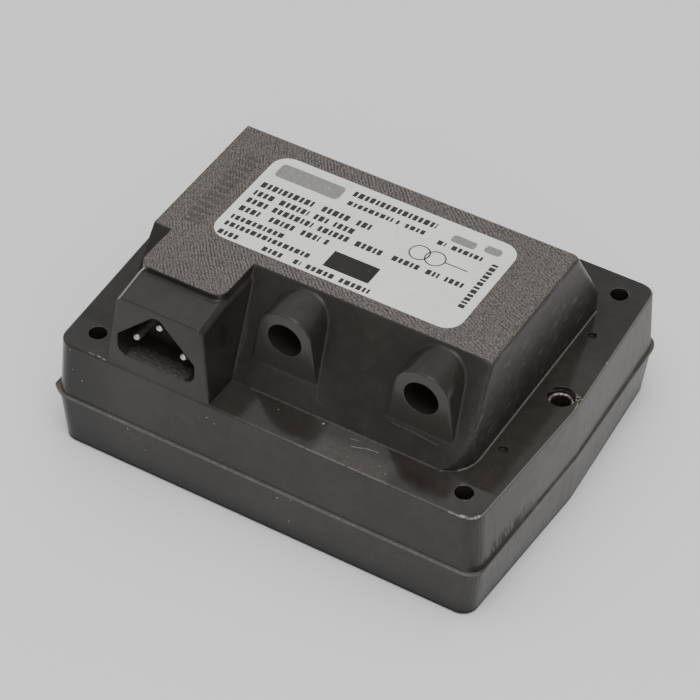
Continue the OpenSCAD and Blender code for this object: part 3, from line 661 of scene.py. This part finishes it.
def plated_finish(name, metal, roughness):
    """Plated metal with drawing lines, dull spots and a little tarnish."""
    f = Finish(name, metallic=1)
    lines = f.grain(0.1, 3, 0.6, (1, 22, 1))
    dull = f.rise(f.grain(1.6, 5, 0.65), 0.42, 0.66)
    colour = f.blend(dull, metal, shade(metal, 0.72))
    rough = f.calc("ADD", f.slide(dull, roughness, roughness + 0.16), f.calc("MULTIPLY", lines, 0.1))
    return f.paint(colour, rough, f.bump(lines, 0.01))


def bush_finish(look):
    """Tarnished bush, rubbed bright on its rolled rim."""
    f = Finish("bush_metal", metallic=0.8)
    patch = f.grain(0.8, 5, 0.7)
    rolled = f.area(f.ring(BUSH_X, BUSH_Y, 2.85, 0.42), f.rise(f.z, BUSH_TOP - 0.7, BUSH_TOP - 0.3))
    rim = f.area(rolled, f.rise(patch, 0.4, 0.56))
    colour = f.blend(f.rise(patch, 0.45, 0.7), look.tarnish, shade(look.tarnish, 2.2))
    colour = f.blend(rim, colour, look.zinc)
    return f.paint(colour, f.slide(rim, 0.5, 0.22), f.bump(patch, 0.05))


def insulator_finish(name, plastic, roughness):
    """Moulded plastic with flow marks and a fine skin."""
    f = Finish(name, specular=0.5)
    flow = f.grain(3.5, 5, 0.65, (1, 1, 2.2))
    fine = f.grain(0.25, 3, 0.6)
    colour = f.blend(flow, shade(plastic, 0.8), shade(plastic, 1.25))
    colour = f.blend(f.area(f.specks(2.2, 0.14), f.rise(flow, 0.5, 0.6)), colour, shade(plastic, 2.6))
    rough = f.slide(fine, roughness - 0.08, roughness + 0.12)
    return f.paint(colour, rough, f.bump(f.calc("MULTIPLY_ADD", fine, 0.4, flow), 0.02))


def lamination_finish(look):
    """Stacked sheets on edge under varnish, with rust freckles."""
    f = Finish("core_steel", metallic=0.85)
    lines = f.bands("Z", 0.62, 0.4)
    rust = f.rise(f.grain(2.4, 6, 0.7), 0.56, 0.74)
    colour = f.blend(f.rise(lines, 0.25, 0), look.iron, shade(look.iron, 0.35))
    colour = f.blend(rust, colour, look.rust)
    return f.paint(colour, f.slide(rust, 0.38, 0.7), f.bump(lines, 0.08))


def winding_finish(look):
    """Layers of enamelled wire laid side by side along X, with painted shade in the grooves between turns."""
    f = Finish("magnet_wire", metallic=0.55, coat=0.4)
    lines = f.bands("X", 0.9, 0.15)
    tone = f.grain(4, 4, 0.6)
    colour = f.blend(tone, shade(look.enamel, 0.75), shade(look.enamel, 1.2))
    # Painted shade in the grooves between the turns
    colour = f.blend(f.rise(lines, 0.35, 0), colour, shade(look.enamel, 0.3))
    return f.paint(colour, f.slide(tone, 0.28, 0.42), f.bump(lines, 0.1))


def tape_finish(look):
    """Overlapped polyester tape."""
    f = Finish("coil_tape", coat=0.5, coat_roughness=0.15)
    laps = f.rise(f.grain(2.6, 2, 0.4, (1, 9, 9)), 0.47, 0.53)
    tone = f.grain(1.1, 5, 0.65)
    colour = f.blend(laps, shade(look.tape, 0.85), look.tape)
    colour = f.blend(f.rise(tone, 0.55, 0.75), colour, shade(look.tape, 0.7))
    return f.paint(colour, f.slide(tone, 0.25, 0.4), f.bump(f.calc("ADD", laps, tone), 0.04))


def lead_finish(name, sheath):
    """Extruded wire insulation, faintly chalky."""
    f = Finish(name, specular=0.5)
    chalk = f.rise(f.grain(0.9, 5, 0.65), 0.48, 0.72)
    fine = f.grain(0.2, 3, 0.6)
    colour = f.blend(chalk, sheath, shade(sheath, 1.5))
    return f.paint(colour, f.slide(chalk, 0.34, 0.55), f.bump(fine, 0.015))


def resin_finish(look):
    """Rough set resin, grey with pale grit, and painted shade in its hollows."""
    f = Finish("recess_resin", specular=0.4)
    lumps = f.grain(0.6, 6, 0.72)
    grit = f.rise(f.grain(0.28, 4, 0.7), 0.55, 0.72)
    # Painted shade in the hollows between the lumps
    colour = f.blend(lumps, look.resin_hollow_shade, look.resin)
    colour = f.blend(f.area(grit, 0.5), colour, look.resin_grit)
    return f.paint(colour, f.slide(lumps, 0.5, 0.85), f.bump(f.calc("ADD", lumps, grit), 0.16))


def dress(material, *names):
    """Gives CAD nodes a finish in every material slot."""
    for name in names:
        node = NODES[name]
        if not node.data.materials:
            node.data.materials.append(material)
        for slot in node.material_slots:
            slot.material = material


# Meshes


def rounded_outline(width, height, radius, steps=5):
    """Corner points of a rounded rectangle about the origin, anticlockwise."""
    radius = min(radius, width / 2, height / 2)
    outline = []
    for turn, (sx, sy) in enumerate(((1, 1), (-1, 1), (-1, -1), (1, -1))):
        cx, cy = sx * (width / 2 - radius), sy * (height / 2 - radius)
        for step in range(steps + 1):
            a = math.radians(90 * (turn + step / steps))
            outline.append((cx + radius * math.cos(a), cy + radius * math.sin(a)))
    return outline


def lay_plate(bm, outline, x, y, bottom, top):
    """Adds a flat plate with the given outline to a mesh."""
    lower = [bm.verts.new((x + px, y + py, bottom)) for px, py in outline]
    upper = [bm.verts.new((x + px, y + py, top)) for px, py in outline]
    bm.faces.new(upper)
    bm.faces.new(lower[::-1])
    count = len(outline)
    for i in range(count):
        j = (i + 1) % count
        bm.faces.new((lower[i], lower[j], upper[j], upper[i]))


def lay_ring(bm, x, y, radius, width, bottom, top, steps=48):
    """Adds a flat ring to a mesh."""
    inner, outer = radius - width / 2, radius + width / 2
    loops = []
    for r, z in ((inner, bottom), (inner, top), (outer, top), (outer, bottom)):
        turns = [math.tau * i / steps for i in range(steps)]
        loops.append([bm.verts.new((x + r * math.cos(a), y + r * math.sin(a), z)) for a in turns])
    for a, b in zip(loops, loops[1:] + loops[:1]):
        for i in range(steps):
            j = (i + 1) % steps
            bm.faces.new((a[i], b[i], b[j], a[j]))


def add_object(name, data):
    """Adds an object to the scene."""
    item = bpy.data.objects.new(name, data)
    bpy.context.scene.collection.objects.link(item)
    return item


def add_mesh(name, bm, material):
    """Adds a mesh to the scene as an object with one material."""
    mesh = bpy.data.meshes.new(name)
    bm.to_mesh(mesh)
    bm.free()
    mesh.materials.append(material)
    return add_object(name, mesh)


def place_piece(name, bm, material):
    """Turns a mesh into a piece that rides on the body."""
    bmesh.ops.recalc_face_normals(bm, faces=bm.faces)
    piece = add_mesh(name, bm, material)
    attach(piece, "root")
    return piece


# Pieces


class TRANSFORMER_OT_casting(bpy.types.Operator):
    """Finish the moulded body"""

    bl_idname = "transformer.casting"
    bl_label = "Moulded body"

    def execute(self, context):
        dress(CastingFinish(context.scene.casting_look).painted(), "moulded_body")
        return {"FINISHED"}


class TRANSFORMER_OT_label(bpy.types.Operator):
    """Finish the rating label and lay its plain fields and bars of print"""

    bl_idname = "transformer.label"
    bl_label = "Rating label"

    # Middle of the row along Y, its height, and its runs of print from left to right: start, length
    ROWS = (
        (12.55, 2, ((-10.2, 22.8),)),
        (8.9, 1.6, ((-9.8, 12.4), (3.6, 1.4), (6, 5.6))),
        (3.75, 2.1, ((-30.8, 15.2), (-13.8, 7.6), (-4.2, 4.4))),
        (0.3, 2, ((-30.8, 5.4), (-23.6, 8), (-14, 3.8), (-8.6, 5.8))),
        (-2.9, 2, ((-30.8, 5.6), (-23.6, 11), (-11, 8.2), (-0.8, 7.2))),
        (-6.3, 2, ((-30.8, 6.2), (-22.4, 7), (-13.6, 5), (-7.2, 1.6))),
        (-9.95, 1.7, ((-30.8, 14.6),)),
        (-12.75, 1.7, ((-30.8, 23.4),)),
        (-16.1, 1.7, ((-30.6, 5.4), (-18.4, 5.4), (-9.8, 1.9), (-6.4, 7.4), (2.6, 8))),
        (7.8, 1.6, ((15.4, 2.2), (19.2, 8.2))),
        (-2.75, 1.8, ((9.1, 7.6), (18.2, 3.4), (23.2, 4.8))),
    )
    # Widths that the blocks of a row take in turn, the shortest block and the blocks' corner radius
    BLOCKS = (0.9, 1.25, 0.7, 1.1, 0.95, 1.35)
    LEAST_BLOCK = 0.3
    BLOCK_CORNER = 0.12
    # Upright column of print at the right: its middle along X, its width and its runs of print
    COLUMN = (31, 1.6, ((-9.6, 8.4), (-0.6, 8.4)))
    # Two rings: middle along X and Y, radius and width
    RINGS = ((13.7, 2.2, 2.5, 0.35), (17.9, 2.2, 2.5, 0.35))
    # Line beside the rings, and fields of print: middle along X and Y, width, height and corner radius
    LINE = (23.4, 2.2, 6.2, 0.35, 0.1)
    DARK_FIELD = (2.75, -10.8, 12.3, 6, 0.1)
    GREY_FIELDS = ((-21.4, 10.7, 17.8, 5.2, 1.2), (20.8, 11, 6.4, 2.6, 0.8), (28.2, 11.8, 4.4, 2.6, 1))

    def execute(self, context):
        look = context.scene.label_look
        dress(film_finish(look), "rating_label")
        film_top = LABEL_TOP * MM
        self.level = film_top - look.ink_thickness, film_top + look.ink_thickness
        self.lay_print(look)
        self.lay_fields(look)
        return {"FINISHED"}

    def blocks(self, run, gap, turn):
        """Start and width of the plain blocks that fill a run of print."""
        place, filled = 0.0, []
        while place < run - self.LEAST_BLOCK:
            width = min(self.BLOCKS[turn % len(self.BLOCKS)], run - place)
            filled.append((place, width))
            place += width + gap
            turn += 1
        return filled

    def lay_mark(self, bm, x, y, width, height, radius, steps=5):
        """Adds a plain mark of print, with its place and size in millimetres."""
        outline = rounded_outline(width * MM, height * MM, radius * MM, steps)
        lay_plate(bm, outline, x * MM, y * MM, *self.level)

    def lay_print(self, look):
        """Plain blocks where the rows of print are, and the two rings with their line."""
        bm = bmesh.new()
        gap = look.block_gap / MM
        for row, (y, height, runs) in enumerate(self.ROWS):
            for start, run in runs:
                for place, width in self.blocks(run, gap, row + int(run)):
                    self.lay_mark(bm, start + place + width / 2, y, width, height, self.BLOCK_CORNER, 1)
        x, width, runs = self.COLUMN
        for start, run in runs:
            for place, height in self.blocks(run, gap, 1):
                self.lay_mark(bm, x, start + place + height / 2, width, height, self.BLOCK_CORNER, 1)
        for ring in self.RINGS:
            lay_ring(bm, *[size * MM for size in ring], *self.level)
        self.lay_mark(bm, *self.LINE, 2)
        place_piece("label_print", bm, ink_finish("label_ink", look.ink))

    def lay_fields(self, look):
        """The dark printed field and the grey fields where the marks are."""
        bm = bmesh.new()
        self.lay_mark(bm, *self.DARK_FIELD, 2)
        place_piece("label_dark_field", bm, ink_finish("label_dark_ink", look.field))
        bm = bmesh.new()
        for field in self.GREY_FIELDS:
            self.lay_mark(bm, *field)
        place_piece("label_blocks", bm, ink_finish("label_block_ink", shade(look.ink, 8.0)))


class TRANSFORMER_OT_inlet(bpy.types.Operator):
    """Finish the mains pins and their insert, and lay the rough resin at the mouth of the recess"""

    bl_idname = "transformer.inlet"
    bl_label = "Mains inlet"

    # Rough strip on the recess's floor in millimetres, how high its lumps are, and its mesh
    STRIP_X = (-38.2, -20.4)
    STRIP_Y = (-46.2, -41.2)
    STRIP_Z = 36.4
    SUNK = 0.05
    LUMP_HEIGHT = 0.62
    CELLS = (90, 18)

    def execute(self, context):
        look = context.scene.casting_look
        plate = context.scene.metal_look.plate
        dress(plated_finish("pin_metal", plate, 0.3), "line_pin", "neutral_pin", "earth_pin")
        dress(insulator_finish("pin_insert", shade(look.wall, 1.5), 0.42), "pin_insert")
        self.lay_resin(look)
        return {"FINISHED"}

    def strip_point(self, u, v):
        """A point of the strip's top; u runs along X and v along Y, both from 0 to 1."""
        x = self.STRIP_X[0] + u * (self.STRIP_X[1] - self.STRIP_X[0])
        y = self.STRIP_Y[0] + v * (self.STRIP_Y[1] - self.STRIP_Y[0])
        swell = min(1.0, 9 * u, 9 * (1 - u)) * min(1.0, 5 * v, 2.2 * (1 - v))
        lumps = max(0.0, 0.5 + 0.5 * noise.fractal(Vector((x * 1.1, y * 1.3, 4.0)), 0.7, 2.1, 4))
        return x, y, self.STRIP_Z - self.SUNK + swell * (0.06 + self.LUMP_HEIGHT * lumps ** 1.5)

    def lay_resin(self, look):
        """A strip of lumpy set resin that ran to the mouth of the recess."""
        bm = bmesh.new()
        across, deep = self.CELLS
        rows = []
        for j in range(deep + 1):
            points = [Vector(self.strip_point(i / across, j / deep)) * MM for i in range(across + 1)]
            rows.append([bm.verts.new(point) for point in points])
        for front, back in zip(rows, rows[1:]):
            for i in range(across):
                bm.faces.new((front[i], front[i + 1], back[i + 1], back[i]))
        strip = place_piece("recess_resin", bm, resin_finish(look))
        for face in strip.data.polygons:
            face.use_smooth = True


class TRANSFORMER_OT_contacts(bpy.types.Operator):
    """Finish the high tension contacts in their sockets"""

    bl_idname = "transformer.contacts"
    bl_label = "High tension contacts"

    def execute(self, context):
        brass = context.scene.metal_look.brass
        dress(plated_finish("contact_brass", brass, 0.3), "left_ht_contact", "right_ht_contact")
        return {"FINISHED"}


class TRANSFORMER_OT_earth(bpy.types.Operator):
    """Finish the earth bush and the strap to the core"""

    bl_idname = "transformer.earth"
    bl_label = "Earth bush and strap"

    def execute(self, context):
        look = context.scene.metal_look
        dress(bush_finish(look), "earth_bush")
        dress(plated_finish("strap_metal", look.brass, 0.34), "earth_strap")
        return {"FINISHED"}


class TRANSFORMER_OT_core(bpy.types.Operator):
    """Finish the laminated core and its shunts"""

    bl_idname = "transformer.core"
    bl_label = "Core"

    def execute(self, context):
        shunts = [name for name in NODES if name.endswith("_shunt")]
        dress(lamination_finish(context.scene.metal_look), "core_e_stack", "core_i_stack", *shunts)
        return {"FINISHED"}


class TRANSFORMER_OT_coils(bpy.types.Operator):
    """Finish the bobbins, windings and tape wraps"""

    bl_idname = "transformer.coils"
    bl_label = "Coils"

    def execute(self, context):
        look = context.scene.inner_look
        finishes = {
            "_bobbin": insulator_finish("bobbin", look.nylon, 0.45),
            "_winding": winding_finish(look),
            "_wrap": tape_finish(look),
        }
        for ending, finish in finishes.items():
            dress(finish, *[name for name in NODES if name.endswith(ending)])
        return {"FINISHED"}


class TRANSFORMER_OT_leads(bpy.types.Operator):
    """Finish the insulated leads"""

    bl_idname = "transformer.leads"
    bl_label = "Leads"

    def execute(self, context):
        look = context.scene.inner_look
        dress(lead_finish("brown_lead", look.line), "line_lead")
        dress(lead_finish("blue_lead", look.neutral), "neutral_lead")
        dress(lead_finish("green_lead", look.earth), "earth_lead")
        dress(lead_finish("ht_lead", look.high_tension), "left_ht_lead", "right_ht_lead")
        dress(lead_finish("midpoint_lead", look.midpoint), "left_midpoint_lead", "right_midpoint_lead")
        return {"FINISHED"}


class TRANSFORMER_OT_stage(bpy.types.Operator):
    """Set the pale floor, the soft lights and the camera"""

    bl_idname = "transformer.stage"
    bl_label = "Stage"

    # Where the lights hang and their size, half the floor's width, all in metres
    KEY_PLACE = (0.1, -0.2, 0.95)
    FILL_PLACE = (0.45, -0.75, 0.45)
    LIGHT_SIZE = 0.6
    FLOOR_REACH = 3.0
    # How quickly the extra brightness overhead falls off
    CANOPY_POWER = 5.0

    def execute(self, context):
        look = context.scene.stage_look
        self.lay_floor(look)
        self.hang_light("overhead_light", look.key_power, self.KEY_PLACE)
        self.hang_light("front_light", look.fill_power, self.FILL_PLACE)
        world = bpy.data.worlds.new("studio")
        world.use_nodes = True
        self.glow(world.node_tree, look)
        context.scene.world = world
        self.set_camera(context)
        return {"FINISHED"}

    def glow(self, tree, look):
        """A studio that brightens towards the ceiling."""
        n = Nodes(tree)
        height = n.axes(n.add("TexCoord").outputs["Generated"])[2]
        steep = n.calc("POWER", n.calc("MAXIMUM", height), self.CANOPY_POWER)
        surround = tree.nodes["Background"]
        n.feed(surround.inputs["Color"], (1, 1, 1))
        n.feed(surround.inputs["Strength"], n.calc("MULTIPLY_ADD", steep, look.canopy, look.surround))

    def lay_floor(self, look):
        """A pale floor that is level with the base's underside."""
        bm = bmesh.new()
        bmesh.ops.create_grid(bm, x_segments=1, y_segments=1, size=self.FLOOR_REACH)
        f = Finish("floor_paper", specular=0.2)
        paper = f.blend(f.grain(60, 3, 0.5), shade(look.floor, 0.985), look.floor)
        floor = add_mesh("floor", bm, f.paint(paper, 0.9, f.bump(f.grain(0.6, 3), 0.01)))

    def hang_light(self, name, power, place):
        """A square soft light aimed at the part."""
        data = bpy.data.lights.new(name, "AREA")
        data.energy = power
        data.size = self.LIGHT_SIZE
        light = add_object(name, data)
        light.location = place
        light.rotation_euler = (-Vector(place)).to_track_quat("-Z", "Y").to_euler()

    def set_camera(self, context):
        """The photograph's place, aim, roll and lens."""
        place = context.scene.camera_place
        a, e, r = place.azimuth, place.elevation, place.roll
        back = Vector((math.sin(a) * math.cos(e), -math.cos(a) * math.cos(e), math.sin(e)))
        right = (-back).cross(Vector((0, 0, 1))).normalized()
        up = right.cross(-back)
        rolled_right = right * math.cos(r) + up * math.sin(r)
        rolled_up = up * math.cos(r) - right * math.sin(r)
        data = bpy.data.cameras.new("photo_camera")
        data.sensor_width = 36
        data.lens = place.focal_length
        data.clip_start = 0.01
        camera = add_object("photo_camera", data)
        turn = Matrix((rolled_right, rolled_up, back)).transposed().to_4x4()
        camera.matrix_world = Matrix.Translation(Vector(place.aim) + back * place.distance) @ turn
        context.scene.camera = camera


STEPS = (
    TRANSFORMER_OT_casting,
    TRANSFORMER_OT_label,
    TRANSFORMER_OT_inlet,
    TRANSFORMER_OT_contacts,
    TRANSFORMER_OT_earth,
    TRANSFORMER_OT_core,
    TRANSFORMER_OT_coils,
    TRANSFORMER_OT_leads,
    TRANSFORMER_OT_stage,
)
LOOKS = {
    "casting_look": CastingLook,
    "label_look": LabelLook,
    "metal_look": MetalLook,
    "inner_look": InnerLook,
    "stage_look": StageLook,
    "camera_place": CameraPlace,
}


class TRANSFORMER_PT_panel(bpy.types.Panel):
    """Lists the steps and their settings"""

    bl_idname = "TRANSFORMER_PT_panel"
    bl_label = "Ignition transformer"
    bl_space_type = "VIEW_3D"
    bl_region_type = "UI"
    bl_category = "Transformer"

    def draw(self, context):
        for step in STEPS:
            self.layout.operator(step.bl_idname)
        for name, group in LOOKS.items():
            box = self.layout.box()
            box.label(text=group.__doc__)
            look = getattr(context.scene, name)
            for setting in group.__annotations__:
                box.prop(look, setting)


def register():
    """Makes the settings, steps and panel known to Blender."""
    for name, group in LOOKS.items():
        bpy.utils.register_class(group)
        setattr(bpy.types.Scene, name, PointerProperty(type=group))
    for step in (*STEPS, TRANSFORMER_PT_panel):
        bpy.utils.register_class(step)


def unregister():
    """Takes them out again."""
    for step in reversed((*STEPS, TRANSFORMER_PT_panel)):
        bpy.utils.unregister_class(step)
    for name, group in LOOKS.items():
        delattr(bpy.types.Scene, name)
        bpy.utils.unregister_class(group)


def main():
    """Runs every step in order."""
    register()
    for step in STEPS:
        group, name = step.bl_idname.split(".")
        getattr(getattr(bpy.ops, group), name)()


if __name__ == "__main__":
    main()
